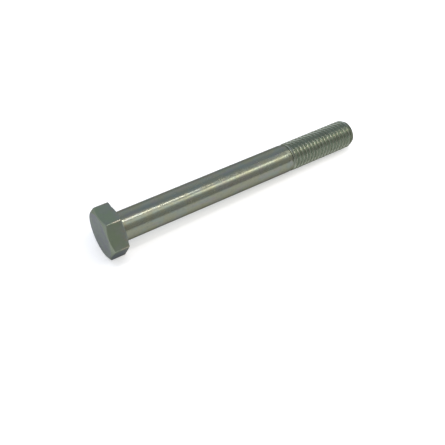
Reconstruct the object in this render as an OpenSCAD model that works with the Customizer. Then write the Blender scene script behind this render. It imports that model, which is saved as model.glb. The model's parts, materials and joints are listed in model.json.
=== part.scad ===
// Hexagon head bolt, M12 x 110, partly threaded, with a plain shank under the head.
// The bolt lies along +X: the head is on the -X side and the threaded end points to +X.
// The origin is the centre of the bearing face under the head, and +Z is up, with a
// flat of the hexagon facing up. All sizes are in millimetres.

/* [Size] */
// Nominal length, from the bearing face to the tip
length = 110; // [90:5:120]
// Length of the full thread, measured from the tip
thread_len = 30; // [24:1:40]

/* [Head] */
// Width across flats, as made for a 19 mm spanner
across_flats = 18.8; // [18.7:0.1:19]
// Height of the head, with its washer face
head_h = 7.5; // [7.2:0.1:7.8]
// Width across corners, where the six edges are rounded off
across_corners = 21.46; // [21.1:0.02:21.6]
// Diameter of the flat circle inside the head's chamfer
head_top_d = 18; // [17:0.1:18.6]
// Slope of the head's chamfer against the flat top, in degrees
head_chamfer_angle = 30; // [20:1:40]

/* [Washer face] */
// Diameter of the raised ring that bears on the joint
washer_face_d = 17.4; // [16.8:0.1:18]
// Height of that ring
washer_face_h = 0.5; // [0.3:0.1:0.7]
// Radius of the fillet between the head and the shank
fillet_r = 0.8; // [0.6:0.1:1]

/* [Shank] */
// Diameter of the plain shank
shank_d = 11.75; // [11.7:0.01:11.9]
// Diameter at the narrow end of the run-out cone
neck_d = 11.44; // [11.3:0.01:11.6]
// Length of the run-out cone
runout_len = 1.4; // [1:0.1:2]
// Distance from the full thread back to the run-out cone
thread_fade_in = 2.9; // [1:0.1:4]

/* [Thread] */
// Pitch of the coarse metric thread
pitch = 1.75; // [1.5:0.25:2]
// Outer diameter of the thread
thread_d = 11.9; // [11.8:0.01:11.95]
// Angle at which the first groove starts, in degrees about the axis
thread_start_angle = 110; // [0:5:355]

/* [Point] */
// Diameter of the flat end face
tip_d = 9.7; // [9.2:0.1:10.2]
// Diameter of the point where the thread begins
point_d = 10.7; // [10.4:0.1:11]
// Length of the plain cone at the end
point_len = 1; // [0.8:0.1:1.4]
// Radius of the edge around the end face
tip_edge_r = 0.35; // [0.2:0.05:0.5]

/* [Hidden] */
$fn = 96;

hex_h = head_h - washer_face_h;
shank_r = shank_d / 2;
neck_r = neck_d / 2;
thread_r = thread_d / 2;
point_r = point_d / 2;
tip_r = tip_d / 2;

// Places along the axis, measured from the bearing face
thread_start = length - thread_len - thread_fade_in;
shank_end = thread_start - runout_len;
thread_end = length - point_len;

// One pitch of the thread as helical lines: place in pitches, then depth as a share of
// the full depth. Two lines edge the crest and three follow the rounded root.
crest_flat = 1 / 8;
root_flat = 1 / 4;
root_edge_share = 0.88;
PROFILE = [
    [-crest_flat / 2, 0],
    [crest_flat / 2, 0],
    [0.5 - root_flat / 2, root_edge_share],
    [0.5, 1],
    [0.5 + root_flat / 2, root_edge_share]
];
thread_depth = 0.6134 * pitch;

// The thread is a grid of points: columns stand around the axis, and lines wind along it.
lines = len(PROFILE);
columns = 50;
columns_per_line = columns / lines;
end_margin = 0.2;
rows = floor(((thread_end - thread_start) / pitch - end_margin) * lines);

// Lengths over which the thread grows to full depth, rises to full size, and fades out
depth_grows_over = 1.8;
crest_rises_over = 1.7;
depth_fades_over = 0.6;
point_slope = 0.6;

module along_axis(x) {
    translate([x, 0, 0]) rotate([0, 90, 0]) children();
}

// A hexagon with one pair of flats facing along X
module hexagonal_bar(flats, h) {
    rotate(30) cylinder(h = h, d = flats / cos(30), $fn = 6);
}

module head() {
    outer_r = across_flats;
    chamfer_drop = (outer_r - head_top_d / 2) * tan(head_chamfer_angle);
    color([0.44, 0.47, 0.42]) along_axis(-head_h) intersection() {
        hexagonal_bar(across_flats, hex_h);
        cylinder(h = hex_h, d = across_corners);
        rotate_extrude() polygon([
            [0, 0], [head_top_d / 2, 0], [outer_r, chamfer_drop], [outer_r, hex_h], [0, hex_h]
        ]);
    }
}

module washer_face() {
    color([0.5, 0.52, 0.47]) along_axis(-washer_face_h) rotate_extrude() {
        translate([shank_r + fillet_r, 0]) {
            square([washer_face_d / 2 - shank_r - fillet_r, washer_face_h]);
        }
    }
}

// The core under the head, which flares into the bearing face with a concave fillet
module head_fillet() {
    color([0.55, 0.57, 0.5]) along_axis(-washer_face_h) rotate_extrude() difference() {
        square([shank_r + fillet_r, washer_face_h + fillet_r]);
        translate([shank_r + fillet_r, washer_face_h + fillet_r]) circle(r = fillet_r);
    }
}

module plain_shank() {
    color([0.68, 0.67, 0.55]) along_axis(fillet_r) {
        cylinder(h = shank_end - fillet_r, r = shank_r);
    }
}

module thread_runout() {
    color([0.58, 0.6, 0.5]) along_axis(shank_end) {
        cylinder(h = runout_len, r1 = shank_r, r2 = neck_r);
    }
}

// A right-hand thread: each line moves one pitch along the axis in one turn
function line_number(row, column) = row - floor(column / columns_per_line);
function profile_index(line) = line - lines * floor(line / lines);
function line_place(line, column) =
    pitch * (floor(line / lines) + PROFILE[profile_index(line)][0] + column / columns);

function crest_radius(x) = min(
    thread_r,
    neck_r + (thread_r - neck_r) * (x - thread_start) / crest_rises_over,
    point_r + (thread_end - x) * point_slope
);
function groove_depth(x) = thread_depth * min(
    1,
    (x - thread_start) / depth_grows_over,
    (thread_end - x) / depth_fades_over
);

function thread_point(row, column) =
    let (
        line = line_number(row, column),
        x = row == 0 ? thread_start
            : row == rows + 1 ? thread_end
            : thread_start + line_place(line, column),
        share = PROFILE[profile_index(line)][1],
        r = crest_radius(x) - groove_depth(x) * share,
        angle = thread_start_angle + 360 * column / columns
    )
    [x, r * cos(angle), r * sin(angle)];

function grid_index(row, column) = row * columns + column % columns;

module thread() {
    points = [for (row = [0 : rows + 1]) for (column = [0 : columns - 1])
        thread_point(row, column)];
    sides = [for (row = [0 : rows]) for (column = [0 : columns - 1]) each [
        [grid_index(row, column), grid_index(row + 1, column), grid_index(row + 1, column + 1)],
        [grid_index(row, column), grid_index(row + 1, column + 1), grid_index(row, column + 1)]
    ]];
    start_cap = [for (column = [0 : columns - 1]) grid_index(0, column)];
    end_cap = [for (column = [columns - 1 : -1 : 0]) grid_index(rows + 1, column)];
    color([0.52, 0.54, 0.44]) polyhedron(points, concat(sides, [start_cap, end_cap]));
}

module chamfered_point() {
    color([0.48, 0.51, 0.46]) along_axis(thread_end) rotate_extrude() intersection() {
        polygon([[0, 0], [point_r, 0], [tip_r, point_len], [0, point_len]]);
        union() {
            square([point_r, point_len - tip_edge_r]);
            square([tip_r - tip_edge_r, point_len]);
            translate([tip_r - tip_edge_r, point_len - tip_edge_r]) circle(r = tip_edge_r);
        }
    }
}

head();
washer_face();
head_fillet();
plain_shank();
thread_runout();
thread();
chamfered_point();
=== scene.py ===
"""Hex bolt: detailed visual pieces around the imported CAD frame, in metres."""
import json
from math import atan2, cos, floor, pi, radians, sin, sqrt, tan

import bmesh
import bpy
from mathutils import Matrix, Vector


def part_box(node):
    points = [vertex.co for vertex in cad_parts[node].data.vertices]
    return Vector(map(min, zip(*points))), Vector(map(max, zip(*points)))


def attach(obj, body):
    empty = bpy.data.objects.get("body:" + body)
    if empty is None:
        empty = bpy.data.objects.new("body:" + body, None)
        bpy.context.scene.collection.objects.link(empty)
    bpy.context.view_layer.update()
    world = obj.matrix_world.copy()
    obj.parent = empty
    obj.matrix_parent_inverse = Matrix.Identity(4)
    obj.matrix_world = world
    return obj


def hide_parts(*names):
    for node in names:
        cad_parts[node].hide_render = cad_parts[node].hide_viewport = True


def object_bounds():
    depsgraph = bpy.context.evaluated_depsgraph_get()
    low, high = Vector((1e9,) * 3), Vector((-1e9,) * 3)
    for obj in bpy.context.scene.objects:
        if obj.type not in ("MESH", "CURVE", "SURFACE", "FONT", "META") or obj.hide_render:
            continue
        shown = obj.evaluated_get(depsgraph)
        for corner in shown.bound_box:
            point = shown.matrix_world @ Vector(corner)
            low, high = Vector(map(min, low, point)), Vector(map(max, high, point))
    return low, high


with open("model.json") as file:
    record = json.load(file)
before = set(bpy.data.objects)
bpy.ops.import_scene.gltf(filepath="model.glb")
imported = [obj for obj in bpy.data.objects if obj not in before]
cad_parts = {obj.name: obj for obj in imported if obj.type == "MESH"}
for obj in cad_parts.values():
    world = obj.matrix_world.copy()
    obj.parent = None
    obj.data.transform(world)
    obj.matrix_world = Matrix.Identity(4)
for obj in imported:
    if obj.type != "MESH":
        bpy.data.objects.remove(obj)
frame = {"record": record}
cad_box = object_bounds()

MM = 0.001

# ---------------------------------------------------------------- sizes from the frame


def span_x(node):
    """A node's lowest and highest place along the bolt's axis."""
    low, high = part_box(node)
    return low[0], high[0]


def radius(node):
    """Half a round node's height, which is its largest radius."""
    low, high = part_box(node)
    return (high[2] - low[2]) / 2


def mount(name):
    """One of the record's mounts."""
    return next(m for m in frame["record"]["mounts"] if m["name"] == name)


HEAD_TOP, HEX_END = span_x("head")
RING_START, RING_END = span_x("washer_face")
FILLET_START, FILLET_END = span_x("head_fillet")
SHANK_START, SHANK_END = span_x("plain_shank")
RUNOUT_START, RUNOUT_END = span_x("thread_runout")
THREAD_START, THREAD_END = span_x("thread")
POINT_START, POINT_END = span_x("chamfered_point")

HALF_FLATS = radius("head")
RING_R = radius("washer_face")
SHANK_R = mount("plain_shank")["dims"]["r_mm"] * MM
POINT_R = radius("chamfered_point")

# The CAD's own sizes that no box or mount gives
HEAD_TOP_R = 9.0 * MM
HEAD_CHAMFER_ANGLE = radians(30)
PITCH = 1.75 * MM
THREAD_R = 5.95 * MM
NECK_R = 5.72 * MM
TIP_R = 4.85 * MM
THREAD_START_ANGLE = radians(110)
CREST_RISES_OVER = 1.7 * MM
GROOVE_GROWS_OVER = 1.8 * MM
GROOVE_FADES_OVER = 0.6 * MM
POINT_SLOPE = 0.6

# ---------------------------------------------------------------- mesh building


def rounded(corners, radii, steps=6):
    """An open outline whose inner corners are arcs, each cut short where a side is short.

    A corner with no radius stays as it is."""
    points = [Vector(corners[0])]
    for before, here, after, wanted in zip(corners, corners[1:], corners[2:], radii):
        here = Vector(here)
        to_before, to_after = Vector(before) - here, Vector(after) - here
        turn = pi - to_before.angle(to_after)
        if wanted == 0 or turn < 1e-6:
            points.append(here)
            continue
        reach = wanted * tan(turn / 2)
        reach = min(reach, 0.48 * to_before.length, 0.48 * to_after.length)
        start, end = here + to_before.normalized() * reach, here + to_after.normalized() * reach
        arc_r = reach / tan(turn / 2)
        centre = here + (to_before.normalized() + to_after.normalized()).normalized() * (
            arc_r / cos(turn / 2))
        for step in range(steps + 1):
            share = step / steps
            chord = start.lerp(end, share) - centre
            points.append(centre + chord.normalized() * arc_r)
    points.append(Vector(corners[-1]))
    return points


def mark_sharp(bm, limit):
    """Smooth shading everywhere, broken at edges that turn by more than the limit."""
    for face in bm.faces:
        face.smooth = True
    for edge in bm.edges:
        if len(edge.link_faces) == 2 and edge.calc_face_angle(0) > limit:
            edge.smooth = False


def piece_from_columns(name, columns, sharp=radians(32)):
    """A closed piece: each column is an outline (x, r) at an angle, from axis to axis.

    columns is a list of (angle, outline); all outlines have as many points, and the first
    and last point of each is on the axis."""
    bm = bmesh.new()
    first = bm.verts.new((columns[0][1][0][0], 0, 0))
    last = bm.verts.new((columns[0][1][-1][0], 0, 0))
    grid = [[bm.verts.new((x, r * cos(angle), r * sin(angle))) for x, r in outline[1:-1]]
            for angle, outline in columns]
    for here, beside in zip(grid, grid[1:] + grid[:1]):
        bm.faces.new((first, here[0], beside[0]))
        bm.faces.new((last, beside[-1], here[-1]))
        for row in range(len(here) - 1):
            bm.faces.new((here[row], here[row + 1], beside[row + 1], beside[row]))
    bmesh.ops.recalc_face_normals(bm, faces=bm.faces)
    mark_sharp(bm, sharp)
    mesh = bpy.data.meshes.new(name)
    bm.to_mesh(mesh)
    bm.free()
    piece = bpy.data.objects.new(name, mesh)
    bpy.context.scene.collection.objects.link(piece)
    return piece


def lathe(name, outline, around=192):
    """A closed solid of revolution about the bolt's axis."""
    return piece_from_columns(name, [(2 * pi * i / around, outline) for i in range(around)])


# ---------------------------------------------------------------- head

CHAMFER_SLOPE = tan(HEAD_CHAMFER_ANGLE)
CHAMFER_EDGE_RADII = [0.35 * MM, 0.3 * MM]
UNDERSIDE_EDGE_R = 0.4 * MM
# Share of the top circle's radius where the flat faces' outer rings start
FACE_RING_SHARE = 0.6
# Share of each sixth of a turn that gets the closer columns
CORNER_SHARE = 0.16
TOP_CORNER_R, SEAT_CORNER_R = 0.55 * MM, 0.12 * MM
TOP_REACH, SEAT_REACH = 10.77 * MM, 10.73 * MM
FLAT_COLUMNS, CORNER_COLUMNS = 24, 18
SIDE_STEPS = 8
FLAT_SIDES = 6


def hexagon_radius(angle, share):
    """Distance from the axis to a hexagon with one flat facing up.

    Its corners are round near the top (share 0) and cut flatter near the seat (share 1)."""
    worn = min(1, max(0, 2.5 * share - 0.5))
    corner_r = TOP_CORNER_R + (SEAT_CORNER_R - TOP_CORNER_R) * worn
    limit = TOP_REACH + (SEAT_REACH - TOP_REACH) * worn
    sector = 2 * pi / FLAT_SIDES
    off = abs((angle - pi / 2 + sector / 2) % sector - sector / 2)
    core = HALF_FLATS - corner_r
    side = HALF_FLATS / cos(off)
    if side * sin(off) > core * tan(sector / 2):
        corner = core / cos(sector / 2)
        aside = sector / 2 - off
        side = corner * cos(aside) + sqrt(max(corner_r ** 2 - (corner * sin(aside)) ** 2, 0))
    return min(side, limit)


def head_angles():
    """Angles of the head's columns, closer together around each corner."""
    sector = 2 * pi / FLAT_SIDES
    angles = []
    for side in range(FLAT_SIDES):
        start = pi / 2 - sector / 2 + side * sector
        for i in range(CORNER_COLUMNS):
            angles.append(start + sector * CORNER_SHARE * (i / CORNER_COLUMNS - 0.5))
        for i in range(FLAT_COLUMNS):
            share = CORNER_SHARE / 2 + (1 - CORNER_SHARE) * i / FLAT_COLUMNS
            angles.append(start + sector * share)
    return angles


def head_outline(angle):
    """The head's outline in the plane at an angle, from the top's centre to the underside."""
    top_side = hexagon_radius(angle, 0)
    chamfer_x = HEAD_TOP + (top_side - HEAD_TOP_R) * CHAMFER_SLOPE
    ring_r = FACE_RING_SHARE * HEAD_TOP_R
    corners = [(HEAD_TOP, ring_r), (HEAD_TOP, HEAD_TOP_R), (chamfer_x, top_side)]
    corner_arcs = list(CHAMFER_EDGE_RADII)
    for step in range(1, SIDE_STEPS + 1):
        share = step / SIDE_STEPS
        x = chamfer_x + (HEX_END - chamfer_x) * share
        corners.append((x, hexagon_radius(angle, share)))
        corner_arcs.append(0 if step < SIDE_STEPS else UNDERSIDE_EDGE_R)
    corners.append((HEX_END, ring_r))
    return [Vector((HEAD_TOP, 0))] + rounded(corners, corner_arcs) + [Vector((HEX_END, 0))]


def make_head():
    """The forged hexagon with its chamfer."""
    return piece_from_columns("hexagon_head", [(a, head_outline(a)) for a in head_angles()])


def make_bearing_ring():
    """The raised ring under the head, with a soft outer edge."""
    outline = rounded([(RING_START, 0), (RING_START, RING_R), (RING_END, RING_R), (RING_END, 0)],
                      [0.02 * MM, 0.12 * MM])
    return lathe("bearing_ring", outline)


def make_neck_fillet():
    """The concave fillet from the bearing ring into the shank."""
    reach = FILLET_END
    steps = 14
    outer = SHANK_R + reach
    arc = [(reach - reach * cos(pi / 2 * i / steps), outer - reach * sin(pi / 2 * i / steps))
           for i in range(steps + 1)]
    outline = [(FILLET_START, 0), (FILLET_START, outer)] + arc + [(FILLET_END, 0)]
    return lathe("neck_fillet", outline)


# ---------------------------------------------------------------- shank and point


def make_shank():
    """The drawn shank."""
    rows = 60
    outline = [(SHANK_START, 0)]
    outline += [(SHANK_START + (SHANK_END - SHANK_START) * i / rows, SHANK_R)
                for i in range(rows + 1)]
    outline.append((SHANK_END, 0))
    return lathe("drawn_shank", outline)


def make_runout():
    """The shoulder where the shank narrows to the rolled thread."""
    steps = 12
    curve = []
    for i in range(steps + 1):
        share = i / steps
        ease = share * share * (3 - 2 * share)
        x = RUNOUT_START + (RUNOUT_END - RUNOUT_START) * share
        curve.append((x, SHANK_R + (NECK_R - SHANK_R) * ease))
    return lathe("runout_shoulder", [(RUNOUT_START, 0)] + curve + [(RUNOUT_END, 0)])


def make_point():
    """The plain cone and the flat end."""
    outline = rounded([(POINT_START, 0), (POINT_START, POINT_R), (POINT_END, TIP_R),
                       (POINT_END, 0)], [0.01 * MM, 0.4 * MM])
    return lathe("chamfered_tip", outline)


# ---------------------------------------------------------------- thread

THREAD_COLUMNS = 160
PROFILE_LINES = 16
THREAD_DEPTH = 0.6134 * PITCH


def groove_share(phase):
    """Depth of the thread's groove as a share, for a place 0 to 1 within one pitch."""
    crest_half, root_half = 0.13, 0.11
    away = abs(phase - floor(phase) - 0.5)
    from_crest = 0.5 - away
    flank = (from_crest - crest_half) / (0.5 - root_half - crest_half)
    if flank <= 0:
        return 0.02 * (from_crest / crest_half) ** 2
    if flank >= 1:
        return 0.9 + 0.1 * cos(pi / 2 * away / root_half)
    return 0.02 + 0.88 * flank


def crest_radius(x):
    """Radius over the crests, which rises from the neck and falls to the point."""
    rise = min(1, (x - THREAD_START) / CREST_RISES_OVER)
    rising = NECK_R + (THREAD_R - NECK_R) * rise * (2 - rise)
    return min(rising, THREAD_R, POINT_R + (THREAD_END - x) * POINT_SLOPE)


def groove_scale(x):
    """How deep the groove is at a place, as a share of the full depth."""
    grown = (x - THREAD_START) / GROOVE_GROWS_OVER
    left = (THREAD_END - x) / GROOVE_FADES_OVER
    return min(1, grown, left)


def make_thread():
    """The rolled thread: lines wind along it, one pitch for each turn."""
    length = THREAD_END - THREAD_START
    rows = int((length / PITCH - 0.1) * PROFILE_LINES)
    per_line = THREAD_COLUMNS / PROFILE_LINES
    columns = []
    for column in range(THREAD_COLUMNS):
        turn = column / THREAD_COLUMNS
        outline = [(THREAD_START, 0), (THREAD_START, NECK_R)]
        for row in range(1, rows + 1):
            line = row - floor(column / per_line)
            phase = line / PROFILE_LINES
            x = THREAD_START + PITCH * (phase + turn)
            r = crest_radius(x) - THREAD_DEPTH * groove_scale(x) * groove_share(phase)
            outline.append((x, r))
        outline += [(THREAD_END, POINT_R), (THREAD_END, 0)]
        columns.append((THREAD_START_ANGLE + 2 * pi * turn, outline))
    return piece_from_columns("rolled_thread", columns, sharp=radians(50))


# ---------------------------------------------------------------- materials


class Nodes:
    """A short way to add nodes to a material and join them."""

    def __init__(self, name):
        self.material = bpy.data.materials.new(name)
        self.material.use_nodes = True
        self.tree = self.material.node_tree
        self.shader = self.tree.nodes["Principled BSDF"]
        self.place = self.tree.nodes.new("ShaderNodeTexCoord").outputs["Object"]

    def add(self, kind, inputs=None, **settings):
        """A node with its settings, and its inputs set or linked."""
        node = self.tree.nodes.new(kind)
        for name, value in settings.items():
            setattr(node, name, value)
        for name, value in (inputs or {}).items():
            self.set(node.inputs[name], value)
        return node

    def set(self, socket, value):
        """Link a socket if the value is one, or else set its constant."""
        if isinstance(value, bpy.types.NodeSocket):
            self.tree.links.new(value, socket)
        else:
            socket.default_value = value

    def noise(self, scale, detail=4, stretch=(1, 1, 1), roughness=0.55, seed=0.0):
        """Noise in metres: scale is in features for each metre."""
        mapped = self.add("ShaderNodeMapping", {"Vector": self.place, "Scale": stretch,
                                                "Location": (seed, seed * 1.7, seed * 0.6)})
        noise = self.add("ShaderNodeTexNoise", {
            "Vector": mapped.outputs[0], "Scale": scale, "Detail": detail,
            "Roughness": roughness})
        return noise.outputs["Fac"]

    def ramp(self, factor, low, high, to_low=0.0, to_high=1.0):
        """Map a factor smoothly from one range to another, clamped."""
        node = self.add("ShaderNodeMapRange", {
            "Value": factor, "From Min": low, "From Max": high, "To Min": to_low,
            "To Max": to_high}, interpolation_type="SMOOTHSTEP")
        return node.outputs["Result"]

    def mix(self, factor, a, b):
        """Mix two colours."""
        node = self.add("ShaderNodeMix", data_type="RGBA")
        self.set(node.inputs["Factor"], factor)
        for index, value in ((6, a), (7, b)):
            self.set(node.inputs[index], value)
        return node.outputs[2]

    def math(self, operation, a, b=0.0):
        """One arithmetic step."""
        node = self.add("ShaderNodeMath", operation=operation)
        self.set(node.inputs[0], a)
        self.set(node.inputs[1], b)
        return node.outputs[0]

    def along(self):
        """Place along the bolt's axis, in metres."""
        return self.add("ShaderNodeSeparateXYZ", {"Vector": self.place}).outputs["X"]

    def height(self):
        """Place above the bolt's axis, in metres."""
        return self.add("ShaderNodeSeparateXYZ", {"Vector": self.place}).outputs["Z"]

    def off_axis(self):
        """Distance from the bolt's axis, in metres."""
        parts = self.add("ShaderNodeSeparateXYZ", {"Vector": self.place})
        squares = self.math("ADD", self.math("POWER", parts.outputs["Y"], 2.0),
                            self.math("POWER", parts.outputs["Z"], 2.0))
        return self.math("SQRT", squares)

    def bump(self, height, distance, strength=1.0, under=None):
        """A bump of a height in metres, laid over another."""
        inputs = {"Height": height, "Distance": distance, "Strength": strength}
        if under is not None:
            inputs["Normal"] = under
        return self.add("ShaderNodeBump", inputs).outputs["Normal"]


def rgb(r, g, b):
    """A linear colour with full alpha."""
    return (r, g, b, 1)


ZINC = rgb(0.204, 0.215, 0.161)
ZINC_TEAL = rgb(0.188, 0.217, 0.188)
ZINC_VIOLET = rgb(0.209, 0.201, 0.195)
ZINC_OLIVE = rgb(0.174, 0.212, 0.148)
ZINC_MOSS = rgb(0.182, 0.210, 0.165)
# A darker, bluer zinc for the painted shade low on the head's sides
ZINC_BLUE_PAINTED_SHADE = rgb(0.138, 0.159, 0.171)
ZINC_MINT = rgb(0.285, 0.320, 0.288)
ZINC_LILAC = rgb(0.265, 0.272, 0.298)
# A lighter zinc: the chamfer's painted highlight and the top face's pale speckles
ZINC_PALE_SPECKLE_AND_HIGHLIGHT = rgb(0.222, 0.250, 0.196)
# A lighter zinc for the painted highlight on the head's edges
ZINC_CORNER_HIGHLIGHT = rgb(0.238, 0.232, 0.180)
ZINC_WARM = rgb(0.246, 0.237, 0.162)
# Darker zinc for the thread's crests, and lighter zinc for its grooves: painted light and shade
# between them
ZINC_CREST_PAINTED_DARK = rgb(0.158, 0.170, 0.122)
ZINC_DULL = rgb(0.150, 0.170, 0.145)
ZINC_GROOVE_PAINTED_LIGHT = rgb(0.360, 0.400, 0.338)
ZINC_GROOVE_PAINTED_LIGHT_DULL = rgb(0.320, 0.345, 0.290)
ZINC_SEAT = rgb(0.186, 0.202, 0.192)
STAIN = rgb(0.150, 0.120, 0.075)
RUST = rgb(0.240, 0.185, 0.125)

# How much of its light each finish keeps at grazing angles
FORGED_EDGE_TINT, DRAWN_EDGE_TINT, ROLLED_EDGE_TINT = 0.4, 0.35, 0.3


def plated_colour(nodes, main, other, violet_share=0.6, stain_share=0.35):
    """Zinc plating: clouds of two greys and violet, with a few dull and brownish spots."""
    clouds = nodes.ramp(nodes.noise(280, 4, (0.7, 1, 1), seed=0.3), 0.42, 0.60)
    colour = nodes.mix(clouds, main, other)
    violet = nodes.ramp(nodes.noise(330, 3, (0.5, 1, 1), seed=8.9), 0.50, 0.64, 0.0,
                        violet_share)
    colour = nodes.mix(violet, colour, ZINC_VIOLET)
    dull = nodes.ramp(nodes.noise(700, 5, seed=1.1), 0.52, 0.72, 0.0, 0.5)
    colour = nodes.mix(dull, colour, ZINC_DULL)
    spots = nodes.ramp(nodes.noise(260, 6, seed=2.4), 0.64, 0.74, 0.0, stain_share)
    return nodes.mix(spots, colour, STAIN)


def metal(nodes, colour, rough, normal, edge_tint):
    """Join a metal's parts: colour, roughness, surface and how dark it is at grazing angles."""
    nodes.set(nodes.shader.inputs["Base Color"], colour)
    nodes.set(nodes.shader.inputs["Roughness"], rough)
    nodes.set(nodes.shader.inputs["Normal"], normal)
    nodes.shader.inputs["Metallic"].default_value = 1.0
    nodes.shader.inputs["Specular Tint"].default_value = rgb(edge_tint, edge_tint, edge_tint)
    return nodes.material


def tint_side(nodes, colour):
    """The head's sides: painted shade, darker and bluer low down, and duller with rust specks
    near the bearing side.
    """
    # Painted shade: the lower sides are mixed toward a darker, bluer zinc, as if shaded from
    # below
    low = nodes.ramp(nodes.height(), -4 * MM, 0, 1.0, 0.0)
    colour = nodes.mix(low, colour, ZINC_BLUE_PAINTED_SHADE)
    seat = nodes.ramp(nodes.along(), HEX_END - 2.2 * MM, HEX_END - 0.3 * MM)
    colour = nodes.mix(nodes.math("MULTIPLY", seat, 0.6), colour, ZINC_SEAT)
    rust = nodes.ramp(nodes.noise(800, 3, seed=6.6), 0.50, 0.62, 0.0, 0.45)
    return nodes.mix(nodes.math("MULTIPLY", seat, rust), colour, RUST)


def tint_top(nodes, colour):
    """The head's top: lighter, in mint and lilac patches with pale speckles."""
    top = nodes.ramp(nodes.along(), HEAD_TOP + 0.02 * MM, HEAD_TOP + 0.12 * MM, 1.0, 0.0)
    patches = nodes.ramp(nodes.noise(230, 5, roughness=0.7, seed=12.5), 0.40, 0.60)
    speckle = nodes.ramp(nodes.noise(1300, 3, seed=3.1), 0.50, 0.70, 0.0, 0.45)
    top_colour = nodes.mix(speckle, nodes.mix(patches, ZINC_MINT, ZINC_LILAC), ZINC_PALE_SPECKLE_AND_HIGHLIGHT)
    return nodes.mix(top, colour, top_colour)


def paint_chamfer_highlight(nodes, colour):
    """The head's chamfer, with a painted highlight that makes it a little lighter than the
    sides.
    """
    off_axis = nodes.off_axis()
    rise = nodes.math("MULTIPLY", nodes.math("SUBTRACT", off_axis, HEAD_TOP_R), CHAMFER_SLOPE)
    depth = nodes.math("SUBTRACT", nodes.along(), rise)
    outside_top = nodes.ramp(off_axis, 8.85 * MM, HEAD_TOP_R)
    near_cone = nodes.ramp(depth, HEAD_TOP + 0.08 * MM, HEAD_TOP + 0.2 * MM, 0.8, 0.0)
    # Painted highlight: the chamfer is mixed toward a lighter zinc
    return nodes.mix(nodes.math("MULTIPLY", outside_top, near_cone), colour, ZINC_PALE_SPECKLE_AND_HIGHLIGHT)


def corner_highlight_and_polish(nodes):
    """Where the head gets a painted highlight and a smoother finish: fully on its six edges, in
    the half by the bearing side.
    """
    on_edge = nodes.ramp(nodes.off_axis(), 10.55 * MM, 10.68 * MM)
    by_seat = nodes.ramp(nodes.along(), HEAD_TOP + 2.8 * MM, HEAD_TOP + 4.2 * MM)
    return nodes.math("MULTIPLY", on_edge, by_seat)


def forged_material():
    """Head, ring and fillet: matte, finely pitted plating with tinted zones, among them painted
    shade low on the sides and painted highlights on the chamfer and edges.
    """
    nodes = Nodes("forged_zinc_steel")
    colour = plated_colour(nodes, ZINC_OLIVE, ZINC_MOSS, violet_share=0.1)
    colour = tint_side(nodes, colour)
    colour = tint_top(nodes, colour)
    colour = paint_chamfer_highlight(nodes, colour)
    highlight_and_polish = corner_highlight_and_polish(nodes)
    # Painted highlight: the edges are mixed toward a lighter zinc; their lower roughness is a
    # real smoother finish
    colour = nodes.mix(highlight_and_polish, colour, ZINC_CORNER_HIGHLIGHT)
    rough = nodes.math("ADD", nodes.ramp(nodes.noise(900, 5, seed=3.2), 0.3, 0.7, 0.31, 0.40),
                       nodes.math("MULTIPLY", highlight_and_polish, -0.08))
    pits = nodes.bump(nodes.noise(2600, 4, seed=4.0), 0.012 * MM)
    waves = nodes.bump(nodes.noise(320, 3, seed=5.0), 0.05 * MM, under=pits)
    return metal(nodes, colour, rough, waves, FORGED_EDGE_TINT)


def drawn_material():
    """Shank: semi-bright, with fine lines along the axis and faint handling marks."""
    nodes = Nodes("drawn_zinc_steel")
    colour = plated_colour(nodes, ZINC, ZINC_TEAL)
    lines = nodes.noise(2200, 3, stretch=(0.02, 1, 1), seed=1.9)
    colour = nodes.mix(nodes.ramp(lines, 0.35, 0.7, 0.0, 0.35), colour, ZINC_WARM)
    rough = nodes.math("ADD", nodes.ramp(lines, 0.3, 0.7, 0.21, 0.25),
                       nodes.ramp(nodes.noise(420, 5, seed=2.7), 0.45, 0.75, 0.0, 0.05))
    drawn = nodes.bump(lines, 0.001 * MM)
    waves = nodes.bump(nodes.noise(260, 2, stretch=(0.2, 1, 1), seed=3.7), 0.012 * MM,
                       under=drawn)
    return metal(nodes, colour, rough, waves, DRAWN_EDGE_TINT)


def rolled_material():
    """Thread: crests rubbed smooth and painted darker, grooves painted lighter to make up for
    the shade that two bounces give them.
    """
    nodes = Nodes("rolled_zinc_steel")
    along = nodes.along()
    crest_r = nodes.ramp(along, THREAD_START, THREAD_START + CREST_RISES_OVER, NECK_R,
                         THREAD_R)
    drop = nodes.math("SUBTRACT", crest_r, nodes.off_axis())
    full = nodes.math("MULTIPLY", nodes.ramp(along, THREAD_START, THREAD_START + 2.2 * MM),
                      nodes.ramp(along, THREAD_END - 1.0 * MM, THREAD_END - 0.4 * MM, 1.0, 0.0))
    groove = nodes.math("MULTIPLY", full, nodes.ramp(drop, 0.03 * MM, 0.30 * MM))
    crest_painted_dark = nodes.mix(nodes.ramp(nodes.noise(500, 4, seed=9.4), 0.40, 0.60, 0.55, 1.0),
                             plated_colour(nodes, ZINC, ZINC_TEAL), ZINC_CREST_PAINTED_DARK)
    groove_painted_light = nodes.mix(nodes.ramp(nodes.noise(300, 4, seed=5.2), 0.45, 0.65, 0.0, 0.6),
                              ZINC_GROOVE_PAINTED_LIGHT, ZINC_GROOVE_PAINTED_LIGHT_DULL)
    # Painted light and shade: grooves are mixed toward a lighter zinc and crests toward a darker
    # one, fading out at the thread's start and end
    colour = nodes.mix(groove, crest_painted_dark, groove_painted_light)
    rough = nodes.math("ADD", nodes.ramp(nodes.noise(800, 4, seed=6.1), 0.3, 0.7, 0.21, 0.27),
                       nodes.math("MULTIPLY", groove, 0.06))
    grain = nodes.bump(nodes.noise(3000, 3, seed=7.3), 0.004 * MM)
    return metal(nodes, colour, rough, grain, ROLLED_EDGE_TINT)


# ---------------------------------------------------------------- the pieces


def place(piece, node, material):
    """Let a piece stand for its CAD node on the one rigid body."""
    piece.data.materials.append(material)
    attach(piece, "root")
    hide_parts(node)


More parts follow.
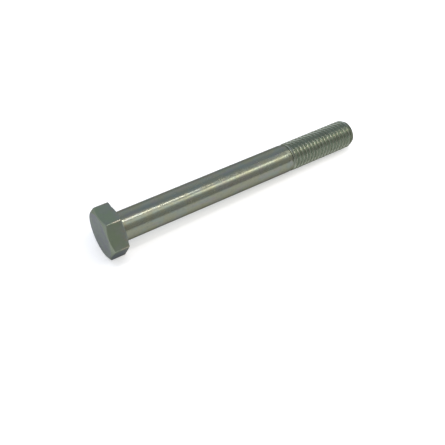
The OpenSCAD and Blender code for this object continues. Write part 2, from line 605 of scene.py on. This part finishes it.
forged, drawn, rolled = forged_material(), drawn_material(), rolled_material()
place(make_head(), "head", forged)
place(make_bearing_ring(), "washer_face", forged)
place(make_neck_fillet(), "head_fillet", forged)
place(make_shank(), "plain_shank", drawn)
place(make_runout(), "thread_runout", drawn)
place(make_thread(), "thread", rolled)
place(make_point(), "chamfered_point", rolled)

# ---------------------------------------------------------------- floor, light, camera


# The table's own light, which keeps it near white
TABLE_GLOW = 0.42
TABLE_SIDE = 6


def make_floor():
    """A pale table that the head's lower flat edge and the thread's end both touch."""
    drop = HALF_FLATS - THREAD_R
    slope = atan2(drop, THREAD_END - HEX_END)
    bpy.ops.mesh.primitive_plane_add(size=TABLE_SIDE, location=(HEX_END, 0, -HALF_FLATS))
    floor_piece = bpy.context.object
    floor_piece.name = "table"
    floor_piece.rotation_euler = (0, -slope, 0)
    nodes = Nodes("table_white")
    shade = nodes.mix(nodes.noise(9, 2), rgb(0.80, 0.80, 0.80), rgb(0.83, 0.83, 0.83))
    nodes.set(nodes.shader.inputs["Base Color"], shade)
    nodes.shader.inputs["Roughness"].default_value = 0.9
    nodes.shader.inputs["Specular IOR Level"].default_value = 0.1
    nodes.shader.inputs["Emission Color"].default_value = rgb(1, 1, 1)
    nodes.shader.inputs["Emission Strength"].default_value = TABLE_GLOW
    floor_piece.data.materials.append(nodes.material)


def make_light(name, position, aim, size, radiance, colour, turn=0.0):
    """A soft rectangular light, given by how bright its face looks."""
    data = bpy.data.lights.new(name, "AREA")
    data.shape = "RECTANGLE"
    data.size, data.size_y = size
    data.energy = radiance * pi * size[0] * size[1]
    data.color = colour
    light = bpy.data.objects.new(name, data)
    bpy.context.scene.collection.objects.link(light)
    back = (Vector(position) - Vector(aim)).normalized()
    side = Vector((cos(turn), sin(turn), 0))
    side = (side - back * side.dot(back)).normalized()
    up = back.cross(side)
    turned = Matrix((side, up, back)).transposed().to_4x4()
    light.matrix_world = Matrix.Translation(position) @ turned


def make_lights():
    """Two long tubes over the bolt, wide dim cards in front and far off, a violet veil."""
    make_light("tube_back", (0.060, -0.075, 0.400), (0.020, 0, 0), (0.25, 0.027), 15.0,
               (1.0, 0.94, 0.95))
    make_light("tube_front", (0.365, -0.211, 0.400), (0.060, 0, 0), (0.33, 0.062), 4.4,
               (1.0, 0.95, 0.82), radians(18))
    make_light("card_far", (0.450, -0.005, 0.400), (0.095, 0, 0), (0.26, 0.170), 1.2,
               (1.0, 0.97, 0.92))
    make_light("veil", (0.010, -0.010, 0.410), (0.020, 0, 0), (0.20, 0.12), 0.35,
               (0.95, 0.92, 1.0))
    make_light("card", (0.120, -0.260, 0.400), (0.040, 0, 0), (0.45, 0.20), 0.95,
               (1.0, 0.97, 0.90))


# The room's stops: degrees toward the front, brightness, then how blue it is
ROOM_FROM_BEHIND_TO_FRONT = [
    (-90, 0.96, 1.08), (-56, 0.92, 1.10), (-38, 0.77, 1.14), (-24, 0.64, 1.22),
    (-8, 0.59, 1.20), (12, 0.58, 1.05), (40, 0.66, 1.0), (60, 0.64, 1.0), (74, 0.57, 1.0),
    (90, 0.55, 1.0),
]


def make_room():
    """A room of soft greys for the metal to mirror, seen directly as plain white."""
    world = bpy.data.worlds.new("room")
    bpy.context.scene.world = world
    world.use_nodes = True
    nodes, links = world.node_tree.nodes, world.node_tree.links
    direction = nodes.new("ShaderNodeTexCoord").outputs["Generated"]
    parts = nodes.new("ShaderNodeSeparateXYZ")
    links.new(direction, parts.inputs[0])
    forward = nodes.new("ShaderNodeMath")
    forward.operation = "MULTIPLY"
    forward.inputs[1].default_value = -1
    links.new(parts.outputs["Y"], forward.inputs[0])
    angle = nodes.new("ShaderNodeMath")
    angle.operation = "ARCTAN2"
    links.new(forward.outputs[0], angle.inputs[0])
    links.new(parts.outputs["Z"], angle.inputs[1])
    share = nodes.new("ShaderNodeMapRange")
    share.inputs["From Min"].default_value = -pi / 2
    share.inputs["From Max"].default_value = pi / 2
    links.new(angle.outputs[0], share.inputs["Value"])
    ramp = nodes.new("ShaderNodeValToRGB")
    ramp.color_ramp.interpolation = "EASE"
    links.new(share.outputs["Result"], ramp.inputs["Fac"])
    while len(ramp.color_ramp.elements) < len(ROOM_FROM_BEHIND_TO_FRONT):
        ramp.color_ramp.elements.new(0.5)
    for element, (degrees_forward, level, blue) in zip(ramp.color_ramp.elements,
                                                       ROOM_FROM_BEHIND_TO_FRONT):
        element.position = (degrees_forward + 90) / 180
        red = 1 - 0.5 * (blue - 1)
        element.color = rgb(level * red, level, level * blue)
    plain = nodes.new("ShaderNodeMix")
    plain.data_type = "RGBA"
    plain.inputs[7].default_value = rgb(1, 1, 1)
    links.new(nodes.new("ShaderNodeLightPath").outputs["Is Camera Ray"], plain.inputs["Factor"])
    links.new(ramp.outputs["Color"], plain.inputs[6])
    links.new(plain.outputs[2], nodes["Background"].inputs["Color"])


CAMERA_AZIMUTH, CAMERA_ELEVATION, CAMERA_ROLL = radians(-33.18), radians(45.38), radians(1.02)
CAMERA_DISTANCE = 264.6 * MM
CAMERA_LENS, CAMERA_SENSOR = 56.54, 36
AIM_FROM_MIDDLE = Vector((-16.5, -18.2, 0)) * MM


def make_camera():
    """The camera at the photograph's viewing angle."""
    middle = Vector(((cad_box[0][0] + cad_box[1][0]) / 2, 0, 0))
    aim = middle + AIM_FROM_MIDDLE
    ahead = Vector((-sin(CAMERA_AZIMUTH) * cos(CAMERA_ELEVATION),
                    cos(CAMERA_AZIMUTH) * cos(CAMERA_ELEVATION), -sin(CAMERA_ELEVATION)))
    right = ahead.cross(Vector((0, 0, 1))).normalized()
    up = right.cross(ahead)
    upright = up * cos(CAMERA_ROLL) - right * sin(CAMERA_ROLL)
    side = ahead.cross(upright)
    camera = bpy.data.objects.new("camera", bpy.data.cameras.new("camera"))
    bpy.context.scene.collection.objects.link(camera)
    camera.data.lens = CAMERA_LENS
    camera.data.sensor_width = CAMERA_SENSOR
    camera.data.clip_start = 0.01
    camera.matrix_world = Matrix.Translation(aim - ahead * CAMERA_DISTANCE) @ Matrix(
        (side, upright, -ahead)).transposed().to_4x4()
    bpy.context.scene.camera = camera


make_floor()
make_lights()
make_room()
make_camera()
bpy.context.scene.view_settings.view_transform = "Standard"
